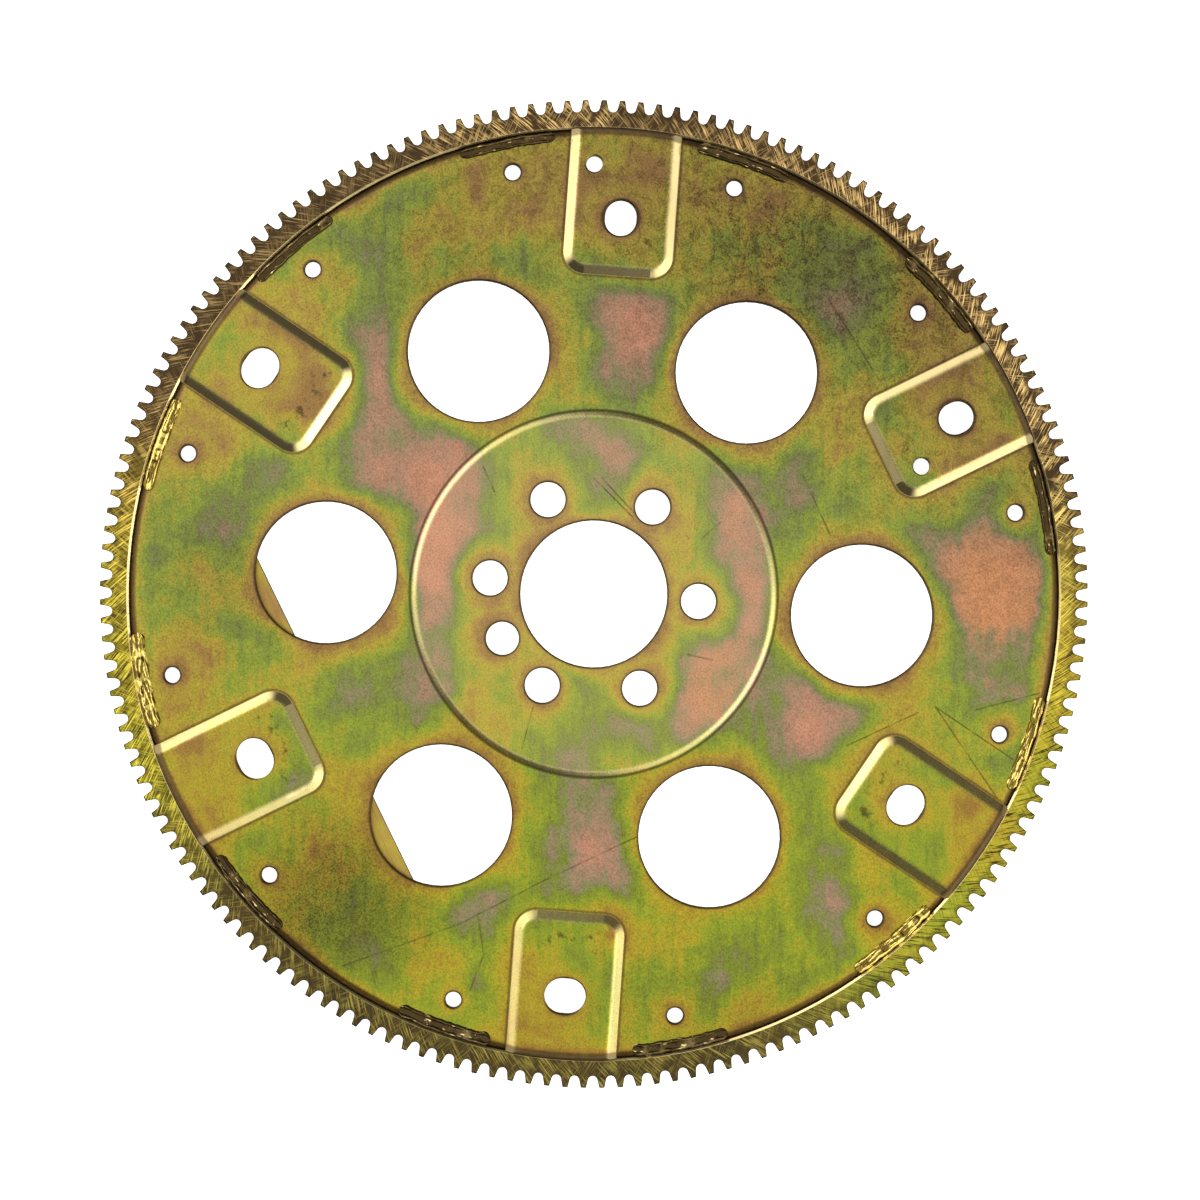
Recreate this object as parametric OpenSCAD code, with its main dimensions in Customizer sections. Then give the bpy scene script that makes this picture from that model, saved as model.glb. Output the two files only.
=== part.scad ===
// Flexplate: a pressed disc with a welded starter ring gear and a balance weight on its crank side.
// Z runs along the crank axis towards the torque converter. The origin is the centre of the
// pilot bore on the crank seat, and the balance weight lies towards -Y.

/* [Sheet] */
// Thickness of the pressed sheet
sheet_t = 2.8; // [2:0.1:4]
// Inside radius of the bends at the hub and the pads
bend_r = 1.2; // [0.6:0.1:2]
// Radius of the crease at the foot of a raised area
crease_r = 0.8; // [0.4:0.1:1.5]
// Chamfer left round each punched hole by the punch
hole_edge = 0.5; // [0.2:0.1:0.8]

/* [Rim] */
// Outer radius of the flange that carries the ring gear
rim_r = 168.9; // [166:0.1:175]
// Length of the flange below the main face
flange_h = 9; // [7:0.5:10]
// Inside radius of the bend into the flange
rim_bend_r = 0.6; // [0.3:0.1:1.5]
// Radius of the flange's corner at a pad
pad_end_r = 1.6; // [0.8:0.1:2.4]
// Radius of the small holes near the rim
rim_hole_r = 2.9; // [2:0.1:4]
// Distance of the small holes from the rim
rim_hole_inset = 12.9; // [10:0.1:16]

/* [Hub] */
// Outer radius of the raised hub at its foot
hub_r = 67; // [62:0.5:70]
// Rise of the hub above the main face
hub_rise = 1.6; // [1.2:0.1:3]
// Slope of the hub's wall in degrees
hub_slope = 40; // [30:1:50]
// Radius of the pilot bore
pilot_r = 26.65; // [20:0.05:29]
// Diameter of the crank bolt circle
crank_circle = 76.2; // [74:0.1:82]
// Radius of a crank bolt hole
crank_hole_r = 6.35; // [5:0.05:7]
// Turn of the two bolt holes beside the dowel hole away from even spacing, in degrees
keyed_turn = 4.65; // [0:0.05:6]
// Radius of the dowel hole
dowel_r = 6; // [4:0.1:6.5]
// Distance of the dowel hole from the crank axis
dowel_at = 36.9; // [35:0.1:40]

/* [Lightening holes] */
// Radius of a lightening hole
light_r = 25.7; // [20:0.1:26.5]
// Distance of the lightening holes from the crank axis
light_at = 97.7; // [96:0.1:99]
// Turn of the lightening holes from midway between the pads, in degrees
light_turn = -0.5; // [-2:0.1:2]

/* [Converter pads] */
// Width of a pad at its foot
pad_w = 40.5; // [36:0.5:46]
// Distance from the crank axis to a pad's inner foot
pad_inner = 115.5; // [112:0.5:119]
// Rise of a pad above the main face
pad_rise = 3; // [2:0.1:4]
// Slope of a pad's wall in degrees
pad_slope = 42; // [34:1:52]
// Corner radius of a pad at its foot, seen from above
pad_corner_r = 8.2; // [7.5:0.1:10]
// Diameter of the small converter bolt circle
small_circle = 273.05; // [270:0.05:276]
// Diameter of the large converter bolt circle
large_circle = 292.1; // [288:0.05:296]
// Width of a locating slot, which runs along the radius
locating_slot_w = 11.4; // [9:0.1:13]
// Length of a locating slot
locating_slot_l = 13; // [11.6:0.1:16]
// Width of a plain slot, which runs across the radius
plain_slot_w = 12.8; // [10:0.1:14]
// Length of a plain slot
plain_slot_l = 15; // [13:0.1:18]
// Radius of the mark hole beside each locating slot
mark_hole_r = 3; // [2:0.1:3.5]
// Distance from the small circle out to its mark hole
small_mark_out = 18.9; // [16:0.1:20]
// Distance from the pad's middle line to that mark hole
small_mark_side = 10.9; // [8:0.1:12]
// Distance from the large circle in to its mark hole
large_mark_in = 19.05; // [16:0.05:20]
// Distance from the pad's middle line to that mark hole
large_mark_side = 10.3; // [8:0.1:12]

/* [Ring gear] */
// Number of teeth
tooth_count = 168; // [150:1:180]
// Height of a tooth
tooth_h = 4.45; // [3.5:0.05:5]
// Radius at the bottom of a tooth space
root_r = 1.75; // [1.2:0.05:1.8]
// Slope of a tooth's flank from the middle of its space, in degrees
flank_slope = 12.7; // [8:0.1:14]
// Radial thickness of the ring under the teeth
ring_wall = 5.95; // [5:0.05:8]
// Width of the ring along the crank axis
ring_w = 10.5; // [9.5:0.5:12]
// Height of the ring's face above the main face
ring_proud = 0.5; // [0:0.1:1]
// Radial gap between the flange and the ring
ring_gap = 0.1; // [0.05:0.05:0.2]
// Chamfer on the edges of the ring
ring_chamfer = 0.6; // [0.3:0.1:1]
// Turn of the first tooth from the X axis, in degrees
first_tooth = 0.75; // [0:0.05:2]

/* [Ring welds] */
// Number of weld beads round the rim
weld_count = 12; // [6:6:12]
// Angle that one bead spans, without its rounded ends
weld_span = 10.4; // [6:0.1:11]
// Width of a bead
weld_w = 6; // [5:0.1:6.4]
// Rise of a bead above the main face
weld_rise = 1.3; // [1:0.1:2]
// Depth of a bead in the groove between flange and ring
weld_depth = 2.3; // [1.6:0.1:2.5]
// Distance of a bead's middle inside the rim
weld_inset = 2.5; // [2:0.1:3]

/* [Balance weight] */
// Distance from the crank axis to the weight's straight inner edge
weight_at = 104.8; // [100:0.1:108]
// Width of the weight
weight_w = 17.2; // [12:0.1:18]
// Length of the weight
weight_l = 146; // [140:1:150]
// Thickness of the weight
weight_t = 5; // [3:0.1:6]
// Chamfer on the weight's free edges
weight_chamfer = 1; // [0.4:0.1:1.4]
// Cut corner of the weight
weight_corner = 5; // [2:0.5:6]
// Leg of the weight's fillet welds
fillet_leg = 3.4; // [2:0.1:3.6]
// Length of a fillet along the weight's outer edge
side_fillet_l = 32; // [20:1:36]
// Distance of each of those fillets from the middle of the weight
side_fillet_at = 44; // [40:1:46]

/* [Hidden] */
$fn = 96;
PAD_COUNT = 6;
PAD_STEP = 360 / PAD_COUNT;
FIRST_PAD = 30;
WEIGHT_ANGLE = 270;
CRANK_STEP = 60;
PASS = 1;
ARC_STEP = 8;
// Grid of a pad's outline points, so that its walls and corners meet point on point
POINT_GRID = 0.0001;
// Radius of a bead's ends as a share of its width
BEAD_END_SHARE = 0.42;

main_z = sheet_t - hub_rise;
main_rear_z = main_z - sheet_t;
pad_z = main_z + pad_rise;
flange_end_z = main_z - flange_h;
core_r = pilot_r / 2;

ring_bore_r = rim_r + ring_gap;
ring_root_r = ring_bore_r + ring_wall;
ring_tip_r = ring_root_r + tooth_h;
ring_front_z = main_z + ring_proud;
ring_rear_z = ring_front_z - ring_w;

weld_mid_r = rim_r - weld_inset;
weld_step = 360 / weld_count;
first_weld = FIRST_PAD - weld_step / 2;
bead_r = (weld_w * weld_w / 4 + weld_rise * weld_rise) / (2 * weld_rise);
bead_end_r = weld_w * BEAD_END_SHARE;
bead_end_angle = 2 * asin(weld_w / weld_mid_r);

rim_hole_at = rim_r - rim_hole_inset;
rim_hole_step = 30;
// Crank holes on each side of the dowel, whose first pair is turned off even spacing
crank_angles = [for (side = [-1, 1], k = [0 : 2]) side * ((k + 0.5) * CRANK_STEP + (k == 0 ? keyed_turn : 0))];

// Small-circle slots stand on the pads at 30, 150 and 270 degrees, large-circle ones between them.
small_pads = [30, 150, 270];
large_pads = [90, 210, 330];
small_locator = 150;
large_locator = 90;
// Mark holes, as distances along and across their pad
small_mark = [small_circle / 2 + small_mark_out, small_mark_side];
large_mark = [large_circle / 2 - large_mark_in, -large_mark_side];

weld_names = [for (k = [1 : weld_count]) str("ring_weld_", k < 10 ? "0" : "", k)];
fillet_names = ["weight_weld_left", "weight_weld_right", "weight_weld_left_end", "weight_weld_right_end"];

function along(a) = [cos(a), sin(a)];
function on_grid(p) = [for (v = p) POINT_GRID * round(v / POINT_GRID)];
// Points of an arc, one every ARC_STEP degrees or less
function arc(centre, r, from, to) =
    let (steps = ceil(abs(to - from) / ARC_STEP))
    [for (i = [0 : steps]) centre + r * along(from + (to - from) * i / steps)];

// Plan length of an S-bend
function bend_run(rise, slope) =
    let (radii = bend_r + sheet_t + crease_r)
    radii * sin(slope) + (rise - radii * (1 - cos(slope))) / tan(slope);

// Outline of an S-bend that climbs from a crease at x = 0 to a crest.
// A skin of 0 gives the sheet's front face, and a skin of its thickness the rear face.
function bend_points(rise, slope, skin) =
    let (crest = bend_r + sheet_t - skin, foot = crease_r + skin)
    concat(
        arc([0, foot], foot, -90, slope - 90),
        arc([bend_run(rise, slope), rise - crest], crest, 90 + slope, 90)
    );

// A slice of a circle between two angles less than 180 degrees apart
module pie(centre, r, from, to) {
    intersection() {
        translate(centre)
            circle(r);
        polygon([
            centre,
            centre + 2 * r * along(from),
            centre + 2 * r * (along(from) + along(to)),
            centre + 2 * r * along(to)
        ]);
    }
}

// The section of the disc without its pads, as the area under its front or rear face
module blank_section(skin) {
    edge_r = rim_r - skin;
    top_z = main_z - skin;
    corner_r = rim_bend_r + sheet_t - skin;
    bottom_z = flange_end_z - (skin > 0 ? PASS : 0);
    polygon(concat(
        [[core_r, bottom_z], [edge_r, bottom_z]],
        arc([edge_r - corner_r, top_z - corner_r], corner_r, 0, 90),
        [for (p = bend_points(hub_rise, hub_slope, skin)) [hub_r - p[0], top_z + p[1]]],
        [[core_r, sheet_t - skin]]
    ));
}

// Section of a pad's edge, from its crease at x = 0 to level ground at its corner's centre
function pad_points(skin) =
    let (bottom = flange_end_z - main_z - skin)
    concat(
        [[0, bottom]],
        [for (p = bend_points(pad_rise, pad_slope, skin)) on_grid(p - [0, skin])],
        [[pad_corner_r, pad_rise - skin], [pad_corner_r, bottom]]
    );

// One pad as the solid under its front or rear face, along +X and not yet cut at the rim
module pad_block(skin) {
    reach = rim_r + PASS - pad_inner;
    half = pad_w / 2;
    inner = half - pad_corner_r;
    translate([pad_inner, 0, main_z]) {
        translate([pad_corner_r, -inner, flange_end_z - main_z - skin])
            cube([reach - pad_corner_r, 2 * inner, pad_rise + main_z - flange_end_z]);
        for (side = [0, 1])
            mirror([0, side, 0]) {
                translate([pad_corner_r, -half, 0])
                    rotate([90, 0, 90])
                        linear_extrude(reach - pad_corner_r)
                            polygon(pad_points(skin));
                translate([pad_corner_r, -inner, 0])
                    rotate(180)
                        rotate_extrude(angle = 90)
                            polygon([for (p = pad_points(skin)) [pad_corner_r - p[0], p[1]]]);
            }
        translate([0, inner, 0])
            rotate([90, 0, 0])
                linear_extrude(2 * inner)
                    polygon(pad_points(skin));
    }
}

// The round envelope that ends the pads at the rim
module pad_limit(skin) {
    edge_r = rim_r - skin;
    corner_r = max(pad_end_r - skin, crease_r / 2);
    top_z = pad_z - skin;
    bottom_z = flange_end_z - skin - PASS;
    rotate_extrude()
        polygon(concat(
            [[core_r, bottom_z], [edge_r, bottom_z]],
            arc([edge_r - corner_r, top_z - corner_r], corner_r, 0, 90),
            [[core_r, top_z]]
        ));
}

// The whole disc as the solid under its front or rear face
module pressing(skin) {
    rotate_extrude()
        blank_section(skin);
    intersection() {
        for (k = [0 : PAD_COUNT - 1])
            rotate(FIRST_PAD + k * PAD_STEP)
                pad_block(skin);
        pad_limit(skin);
    }
}

// A punched round hole whose front edge lies at height z
module hole(r, z) {
    translate([0, 0, flange_end_z])
        cylinder(r = r, h = pad_z - flange_end_z + PASS);
    translate([0, 0, z - hole_edge])
        cylinder(r1 = r, r2 = r + hole_edge + PASS, h = hole_edge + PASS);
}

// A punched slot along X whose front edge lies at height z
module slot(w, l, z) {
    gap = l - w;
    rise = hole_edge + PASS;
    for (side = [-1, 1])
        translate([side * gap / 2, 0, 0])
            hole(w / 2, z);
    translate([-gap / 2, -w / 2, flange_end_z])
        cube([gap, w, pad_z - flange_end_z + PASS]);
    translate([-gap / 2, 0, z - hole_edge])
        rotate([90, 0, 90])
            linear_extrude(gap)
                polygon([[-w / 2, 0], [w / 2, 0], [w / 2 + rise, rise], [-w / 2 - rise, rise]]);
}

module hub_holes() {
    hole(pilot_r, sheet_t);
    rotate(WEIGHT_ANGLE) {
        for (a = crank_angles)
            rotate(a)
                translate([crank_circle / 2, 0, 0])
                    hole(crank_hole_r, sheet_t);
        translate([dowel_at, 0, 0])
            hole(dowel_r, sheet_t);
    }
}

module main_face_holes() {
    for (k = [0 : PAD_COUNT - 1])
        rotate(k * PAD_STEP + light_turn)
            translate([light_at, 0, 0])
                hole(light_r, main_z);
    for (a = [rim_hole_step / 2 : rim_hole_step : 360])
        rotate(a)
            translate([rim_hole_at, 0, 0])
                hole(rim_hole_r, main_z);
}

// The slots of one converter bolt circle: its locating slot lies along the radius, the others across it
module converter_slots(pads, locator, circle_d) {
    for (a = pads)
        rotate(a)
            translate([circle_d / 2, 0, 0])
                if (a == locator)
                    slot(locating_slot_w, locating_slot_l, pad_z);
                else
                    rotate(90)
                        slot(plain_slot_w, plain_slot_l, pad_z);
}

module pad_holes() {
    converter_slots(small_pads, small_locator, small_circle);
    converter_slots(large_pads, large_locator, large_circle);
    rotate(small_locator)
        translate(small_mark)
            hole(mark_hole_r, pad_z);
    rotate(large_locator)
        translate(large_mark)
            hole(mark_hole_r, pad_z);
}

module disc() {
    color("darkkhaki")
        difference() {
            pressing(0);
            pressing(sheet_t);
            hub_holes();
            main_face_holes();
            pad_holes();
        }
}

module ring_section() {
    c = ring_chamfer;
    polygon([
        [ring_bore_r + c, ring_rear_z], [ring_tip_r - c, ring_rear_z],
        [ring_tip_r, ring_rear_z + c], [ring_tip_r, ring_front_z - c],
        [ring_tip_r - c, ring_front_z], [ring_bore_r + c, ring_front_z],
        [ring_bore_r, ring_front_z - c], [ring_bore_r, ring_rear_z + c]
    ]);
}

// One tooth space along +X: a round root that opens into two straight flanks
module tooth_space() {
    root_mid = ring_root_r + root_r;
    mouth_r = ring_tip_r + PASS;
    tangent = root_r * [-sin(flank_slope), cos(flank_slope)];
    flank = mouth_r - root_mid - tangent[0];
    mouth_half = tangent[1] + flank * tan(flank_slope);
    translate([0, 0, ring_rear_z - PASS])
        linear_extrude(ring_w + 2 * PASS) {
            polygon([
                [root_mid + tangent[0], -tangent[1]], [mouth_r, -mouth_half],
                [mouth_r, mouth_half], [root_mid + tangent[0], tangent[1]], [root_mid, 0]
            ]);
            pie([root_mid, 0], root_r, 90 + flank_slope, 180);
            pie([root_mid, 0], root_r, 180, 270 - flank_slope);
        }
}

module ring_gear() {
    color("olivedrab")
        difference() {
            rotate_extrude()
                ring_section();
            for (k = [0 : tooth_count - 1])
                rotate(first_tooth + (k + 0.5) * 360 / tooth_count)
                    tooth_space();
        }
}

// The section of a bead: a crowned lens that fills the groove between flange and ring
module bead_section() {
    difference() {
        intersection() {
            translate([weld_mid_r, main_z + weld_rise - bead_r])
                circle(bead_r);
            translate([weld_mid_r - weld_w, main_z - weld_depth])
                square([2 * weld_w, weld_depth + 2 * weld_rise]);
        }
        blank_section(0);
        ring_section();
    }
}

module ring_weld(k) {
    sweep = weld_span + 2 * bead_end_angle;
    reach = ring_tip_r;
    color("goldenrod")
        rotate(first_weld + k * weld_step)
            intersection() {
                rotate(-sweep / 2)
                    rotate_extrude(angle = sweep)
                        bead_section();
                translate([0, 0, flange_end_z])
                    linear_extrude(flange_h + 2 * weld_rise) {
                        polygon([[0, 0], reach * along(-weld_span / 2), reach * along(weld_span / 2)]);
                        for (end = [-1, 1])
                            translate(weld_mid_r * along(end * weld_span / 2))
                                circle(bead_end_r);
                    }
            }
}

module balance_weight() {
    c = weight_chamfer;
    k = weight_corner;
    half = weight_l / 2;
    color("darkgoldenrod")
        rotate(WEIGHT_ANGLE)
            translate([weight_at, 0, main_rear_z - weight_t])
                intersection() {
                    rotate([90, 0, 0])
                        linear_extrude(weight_l, center = true)
                            polygon([
                                [c, 0], [weight_w - c, 0], [weight_w, c],
                                [weight_w, weight_t], [0, weight_t], [0, c]
                            ]);
                    linear_extrude(weight_t)
                        polygon([
                            [0, k - half], [k, -half], [weight_w - k, -half], [weight_w, k - half],
                            [weight_w, half - k], [weight_w - k, half], [k, half], [0, half - k]
                        ]);
                }
}

// A rounded fillet along +X, in the corner between a wall at y = 0 and the sheet above it
module fillet(l) {
    rotate([90, 0, 90])
        linear_extrude(l, center = true)
            pie([0, 0], fillet_leg, -90, 0);
}

module side_fillet(side) {
    color("goldenrod")
        rotate(WEIGHT_ANGLE)
            translate([weight_at + weight_w, side * side_fillet_at, main_rear_z])
                rotate(-90)
                    fillet(side_fillet_l);
}

module end_fillet(side) {
    color("goldenrod")
        rotate(WEIGHT_ANGLE)
            translate([weight_at + weight_w / 2, side * weight_l / 2, main_rear_z])
                rotate(side > 0 ? 0 : 180)
                    fillet(weight_w - 2 * weight_corner);
}

disc();
ring_gear();
balance_weight();
for (k = [0 : weld_count - 1])
    ring_weld(k);
side_fillet(-1);  // weight_weld_left
side_fillet(1);  // weight_weld_right
end_fillet(-1);  // weight_weld_left_end
end_fillet(1);  // weight_weld_right_end
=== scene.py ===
"""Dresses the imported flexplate: plated finishes, uneven weld beads and a pale stage."""

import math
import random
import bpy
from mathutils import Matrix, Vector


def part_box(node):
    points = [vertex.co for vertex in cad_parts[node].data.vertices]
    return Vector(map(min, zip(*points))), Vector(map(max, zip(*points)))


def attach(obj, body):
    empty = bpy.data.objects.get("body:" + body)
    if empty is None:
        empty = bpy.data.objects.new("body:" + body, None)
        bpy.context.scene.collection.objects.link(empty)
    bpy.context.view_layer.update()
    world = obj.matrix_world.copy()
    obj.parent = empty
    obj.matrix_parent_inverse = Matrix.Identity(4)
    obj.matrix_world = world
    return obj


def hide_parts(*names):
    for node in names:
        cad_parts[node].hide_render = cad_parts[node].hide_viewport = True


bl_info = {
    "name": "Flexplate Dressing",
    "version": (1, 0, 0),
    "blender": (4, 5, 0),
    "location": "View3D > Sidebar > Flexplate",
    "description": "Plates a flexplate, lays its weld beads and sets it on a pale stage",
    "category": "Object",
}

import bmesh
import bpy
from bpy.props import FloatProperty, FloatVectorProperty, IntProperty, PointerProperty
from mathutils import Matrix, Vector, noise

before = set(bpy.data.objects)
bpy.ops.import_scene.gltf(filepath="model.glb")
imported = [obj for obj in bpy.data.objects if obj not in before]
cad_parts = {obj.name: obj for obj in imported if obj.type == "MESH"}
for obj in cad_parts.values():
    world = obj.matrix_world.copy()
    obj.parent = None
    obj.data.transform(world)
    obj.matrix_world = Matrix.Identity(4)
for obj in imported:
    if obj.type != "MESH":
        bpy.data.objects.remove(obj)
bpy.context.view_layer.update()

MM = 0.001
DISC_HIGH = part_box("disc")[1]
RING_LOW, RING_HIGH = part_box("ring_gear")
WEIGHT_LOW, WEIGHT_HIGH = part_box("balance_weight")
RING_WELDS = sorted(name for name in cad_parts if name.startswith("ring_weld_"))

# Places on the disc, in millimetres and degrees as the part's own drawing has them
MAIN_Z = 1.2
MAIN_REAR_Z = -1.6
RIM_R = DISC_HIGH.x / MM
TIP_R = RING_HIGH.x / MM
RING_FRONT_Z = RING_HIGH.z / MM
PILOT_R = 26.65
CRANK_R = 38.1
CRANK_HOLE_R = 6.35
CRANK_TURNS = (34.65, 90, 150)
DOWEL_AT = 36.9
DOWEL_R = 6
WEIGHT_SIDE = 270
LIGHT_AT = 97.7
LIGHT_R = 25.7
LIGHT_TURN = -0.5
RIM_HOLE_AT = 156
RIM_HOLE_R = 2.9
SMALL_SLOT_AT = 136.525
LARGE_SLOT_AT = 146.05
SLOT_R = 6.6
PAD_FIRST = 30
PAD_STEP = 60
PAD_INNER = 115.5
PAD_HALF = 20.25
PAD_CORNER_R = 8.2
HUB_R = 67
HUB_WALL = 3.65
WELD_FIRST = 15
WELD_STEP = 30
WELD_MID_R = 166.4
TOOTH_STEP = 360 / 168
FIRST_SPACE = 0.75 + TOOTH_STEP / 2
SPACE_MID_R = 176.7
SPACE_HALF = 1.71
FLANK_SLOPE = math.radians(12.7)
ROOT_R = 174.4
RING_BORE_R = RIM_R + 0.1

# Lumps of the plating's unevenness, in millimetres, and streaks as their width and length
CLOUD = 34
LUMP = 9
MOTTLE = 3.4
SPANGLE = 7
SMUDGE = 4
SPOT = 2.1
SCRATCH_BREAK = 6
STREAK = (3, 26)
# How much finer the dust is than the grain
DUST_FINER = 2.5
# Depths of the grain and strokes, of the beads' lumps, of the weight's streaks and of fine grain
GRAIN_DEPTH = 0.12
LUMP_DEPTH = 0.4
STREAK_DEPTH = 0.15
FINE_DEPTH = 0.1
# Share of metal in the plated pieces' shine, and in the disc's
METAL = 0.85
DISC_METAL = 0.82
# Where the film gets yellower down the view, and where it is darkened towards its upper right
YELLOW_FADE = (30, -120)
UPPER_RIGHT_DARK_FADE = (20, 150)
# Size of the swirls that the film's patches wander with, and how far they wander
SWIRL = 26
WAVER = 24
# Where a patch ends and where it is full, in shares of its half size
PATCH_FADE = (1.55, 0.1)
# Shares of the ramp of film colours: the usual film, the least away from edges, those at an edge
FILM_USUAL = 0.345
FILM_LEAST = 0.13
FILM_AT_EDGE = (0.07, 0.31)
# Distances over which the film thickens away from an edge, and over which the edge's film fades out
HALO = (-1, 9)
HALO_FADE = (14, 3)
# How much less far each kind of hole reaches into the film
HUB_LAG = 1
LIGHT_LAG = 1.5
RIM_HOLE_LAG = 2.5
SLOT_LAG = 3
# The same for the rim and for both sides of a pad's foot line, as how fast the distance counts
RIM_HALO = 1.5
PAD_HALO_IN = 3
PAD_HALO_OUT = -0.9
PAD_LAG = 4
# Where bends get the pale flash colour, thinned film and painted highlight, and where creases, cut
# edges and the rim band get painted shade, as distances from none to full
PAD_FOOT = (0, 0.6)
PAD_CREST = (4.4, 2.2)
PAD_CREASE = (0.9, 0.15)
HUB_CREST = (1.5, 0.3)
HUB_CREASE = (0.8, 0.15)
HUB_EDGE = 4
CUT_EDGE = (1.1, 0.1)
RIM_BAND = (3, 2)
RIM_DULL = (1.8, 0.8)
# Smudges inside the inner end of a pad: their depth, half width and reach from the end
SMUDGE_DEPTH = 9.5
SMUDGE_HALF = 5
SMUDGE_REACH = (18, 13)
# Half the width of a scratch, and the share of it that is full
SCRATCH_HALF = 0.42
SCRATCH_FULL = 0.3

# Grinding strokes on the ring, as their lean from the way round it in degrees and their strength
STROKES = ((47, 1), (-56, 0.45))
RING_CLOUD = 38
# Width and length of the strokes, of the hair lines in them and of the places that have them
STROKE = (0.6, 12)
HAIR = (0.42, 9)
STROKE_PLACE = (5, 9)
# Where the ring's film and its strokes get yellower down the view
RING_FADE = (60, -120)
GLINT_FADE = (70, -30)
# Where the ring's ground face begins, its teeth, the painted shade along their edges and the
# painted highlight at its bore
RING_FACE = (RING_FRONT_Z - 0.7, RING_FRONT_Z - 0.1)
TOOTH_FOOT = (ROOT_R - 1.5, ROOT_R + 1)
TOOTH_EDGE = (0.7, 0.15)
BORE_LINE = (0.8, 0.55)
# Lit places round the rim, where light and shade are painted into the colour, as an angle in the
# view and the degrees away where they end and are full
RING_LIT_RIGHT = (-27, 42, 12)
RING_LIT_LEFT = (187, 34, 10)
RING_GOLD = (30, 60, 20)
RING_GLINT = (99, 14, 4)
RING_YELLOW = (-66, 22, 8)
BORE_LIT_LEFT = (170, 52, 20)
BORE_LIT_RIGHT = (-42, 48, 20)
BEAD_LIT_LEFT = (177, 34, 20)
BEAD_LIT_RIGHT = (-33, 42, 26)

# Heights that tell the beads in front of the disc from the fillets behind it
DISC_FRONT = (0, 1)
# Lumps on the beads, dabs of painted glint on them, and the heights of their hollows, which get
# soot and painted shade, and of their crests, which get painted highlight
BEAD_GRAIN = 0.5
BEAD_LUMP = 2.6
BEAD_GLINT_DAB = (4.5, 0.9)
BEAD_HOLLOW = (MAIN_Z + 1.2, MAIN_Z + 0.7)
BEAD_CREST = (MAIN_Z + 0.8, MAIN_Z + 1.3)
# Cells along and across a bead, and how deep it is sunk in the sheet
BEAD_CELLS = (130, 26)
BEAD_SINK = 0.25
# A bead's least height, and how much higher its outer edge stands
BEAD_LEAST = 0.02
BEAD_LIFT = 0.3
# The two ridges of a bead in shares of its half width, and the half sizes of its craters
RIDGES = (-0.7, 0.66)
RIDGE_WIDTH = 0.17
CRATER = (1.5, 1.1)
# Length of a fillet's cells, their number round it, and the reach that merges doubled points
FILLET_CELL = 0.3
FILLET_STEPS = 10
MERGE_REACH = 0.004

# Length and width of the streaks along the weight, and the size of its clouds
WEIGHT_STREAK = (22, 0.8)
WEIGHT_CLOUD = 16

# The studio's light: its brightest way in the view, how it fades aside and upwards, its levels
BRIGHT_WAY = math.radians(148)
BRIGHT_SIDE = (0.38, 0.92)
BRIGHT_HEIGHT = (0.58, 0.95)
LIGHT_DIM = 0.08
LIGHT_BRIGHT = 1.9
LIGHT_ABOVE = 1.45
BOXES = (("left_box", (-0.95, 0.5, 0.55)), ("right_box", (0.95, -0.45, 0.55)))
BOX_SIZE = (0.9, 0.6)

# Patches of thick film, as places right of and above the crank axis in the view, in millimetres,
# with their half sizes and strength
FILM_PATCHES = (
    (146, -8, 24, 40, 0.56),
    (52, 29, 13, 40, 0.38),
    (57, -12, 10, 26, 0.4),
    (42, -36, 17, 20, 0.44),
    (-47, 27, 17, 32, 0.46),
    (-58, 0, 14, 32, 0.4),
    (-70, 52, 19, 30, 0.42),
    (-80, 92, 14, 42, 0.28),
    (10, 94, 17, 22, 0.36),
    (75, -44, 14, 32, 0.33),
    (94, -44, 12, 18, 0.26),
    (-2, -87, 20, 26, 0.34),
    (86, -104, 16, 22, 0.22),
    (-40, -118, 18, 16, 0.14),
    (16, -108, 12, 22, 0.2),
    (-78, -32, 20, 26, 0.26),
    (72, 34, 12, 26, 0.24),
    (-14, -26, 14, 16, 0.2),
    (118, 22, 14, 22, 0.18),
    (8, 54, 34, 12, 0.24),
    (97, 112, 34, 30, 0.12),
    (-96, -112, 30, 26, 0.12),
    (-136, 8, 24, 30, 0.1),
    (66, -134, 42, 26, 0.13),
    (120, -80, 20, 18, 0.1),
)
# Patches of thin film, gold to brown
THIN_PATCHES = (
    (12, 150, 22, 24, 0.24),
    (-34, 150, 30, 18, 0.2),
    (60, 148, 26, 16, 0.16),
    (126, 104, 16, 34, 0.24),
    (-140, 60, 16, 26, 0.14),
    (-98, 110, 22, 22, 0.12),
    (40, 12, 14, 16, 0.08),
    (-113, 86, 26, 22, 0.16),
    (138, 70, 22, 24, 0.18),
    (-122, -66, 24, 20, 0.1),
    (-14, -134, 22, 24, 0.06),
    (-150, -40, 16, 40, 0.12),
    (-120, -106, 30, 22, 0.1),
)
# Patches of a warmer film
WARM_PATCHES = (
    (146, -8, 22, 34, 0.7),
    (44, -34, 12, 16, 0.4),
)
# Patches darkened towards the soot colour
SHADE_PATCHES = (
    (97, 118, 44, 34, 0.16),
    (54, 128, 30, 26, 0.14),
    (-136, 12, 26, 34, 0.2),
    (-96, -112, 36, 30, 0.44),
    (-60, 112, 34, 34, 0.14),
    (40, -150, 60, 20, 0.12),
)
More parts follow.
